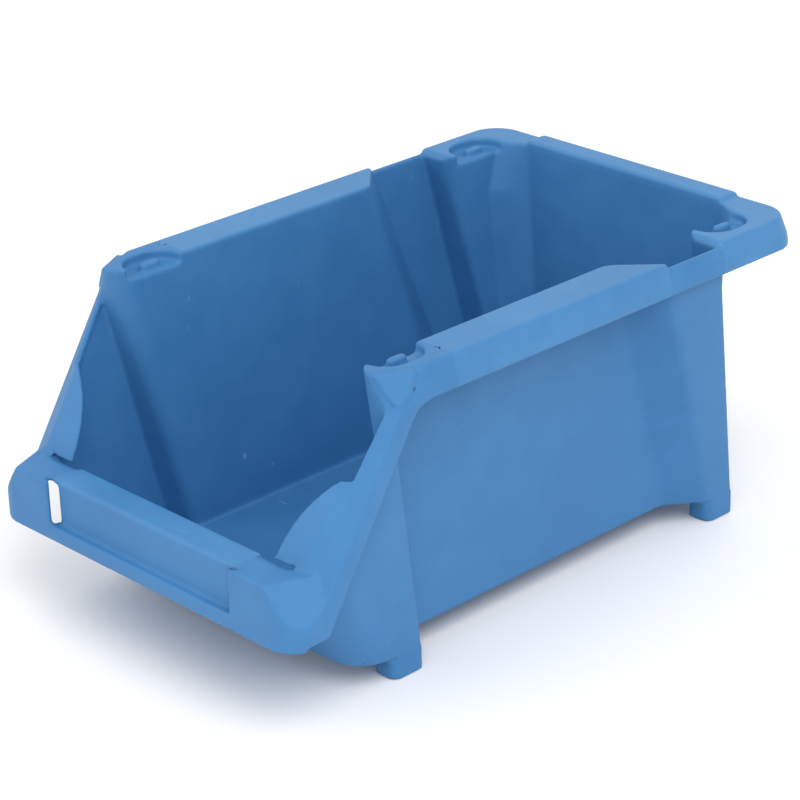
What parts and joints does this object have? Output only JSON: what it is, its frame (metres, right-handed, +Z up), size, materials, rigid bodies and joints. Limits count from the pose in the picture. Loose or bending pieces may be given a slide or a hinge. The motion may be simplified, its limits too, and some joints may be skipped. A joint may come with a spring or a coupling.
{
  "type": "stackable storage bin",
  "caption": "Open-fronted stackable storage bin with leaning side walls, hanging hollow rims, a slanting mouth, a label lip, stacking feet and matching stud seats.",
  "frame": {"origin": "middle of the overall box at ground level, under the feet", "axes": "+X across the bin to its right as seen from the open front looking in, +Y from the label lip to the rear rim, +Z up"},
  "size_m": [0.204, 0.333, 0.155],
  "materials": {
    "blue_polypropylene": "satin moulded polypropylene with a fine grain"
  },
  "bodies": {
    "root": {"back_wall": "blue_polypropylene", "card_face": "blue_polypropylene", "card_rail": "blue_polypropylene", "floor_pan": "blue_polypropylene", "front_column_left": "blue_polypropylene", "front_column_right": "blue_polypropylene", "front_foot_left": "blue_polypropylene", "front_foot_right": "blue_polypropylene", "front_leg_left": "blue_polypropylene", "front_leg_right": "blue_polypropylene", "front_pad_left": "blue_polypropylene", "front_pad_right": "blue_polypropylene", "front_rim_corner_left": "blue_polypropylene", "front_rim_corner_right": "blue_polypropylene", "front_stud_left": "blue_polypropylene", "front_stud_right": "blue_polypropylene", "front_wall": "blue_polypropylene", "lip_end_left": "blue_polypropylene", "lip_end_right": "blue_polypropylene", "lip_top": "blue_polypropylene", "mouth_facet_left": "blue_polypropylene", "mouth_facet_right": "blue_polypropylene", "mouth_rim_left": "blue_polypropylene", "mouth_rim_right": "blue_polypropylene", "mouth_skirt_left": "blue_polypropylene", "mouth_skirt_right": "blue_polypropylene", "mouth_web_left": "blue_polypropylene", "mouth_web_right": "blue_polypropylene", "pocket_rim_left": "blue_polypropylene", "pocket_rim_right": "blue_polypropylene", "rear_column_left": "blue_polypropylene", "rear_column_right": "blue_polypropylene", "rear_foot_left": "blue_polypropylene", "rear_foot_right": "blue_polypropylene", "rear_leg_left": "blue_polypropylene", "rear_leg_right": "blue_polypropylene", "rear_pad_left": "blue_polypropylene", "rear_pad_right": "blue_polypropylene", "rear_rim": "blue_polypropylene", "rear_rim_corner_left": "blue_polypropylene", "rear_rim_corner_right": "blue_polypropylene", "rear_stud_left": "blue_polypropylene", "rear_stud_right": "blue_polypropylene", "side_rim_left": "blue_polypropylene", "side_rim_right": "blue_polypropylene", "side_wall_left": "blue_polypropylene", "side_wall_right": "blue_polypropylene"}
  },
  "joints": []
}
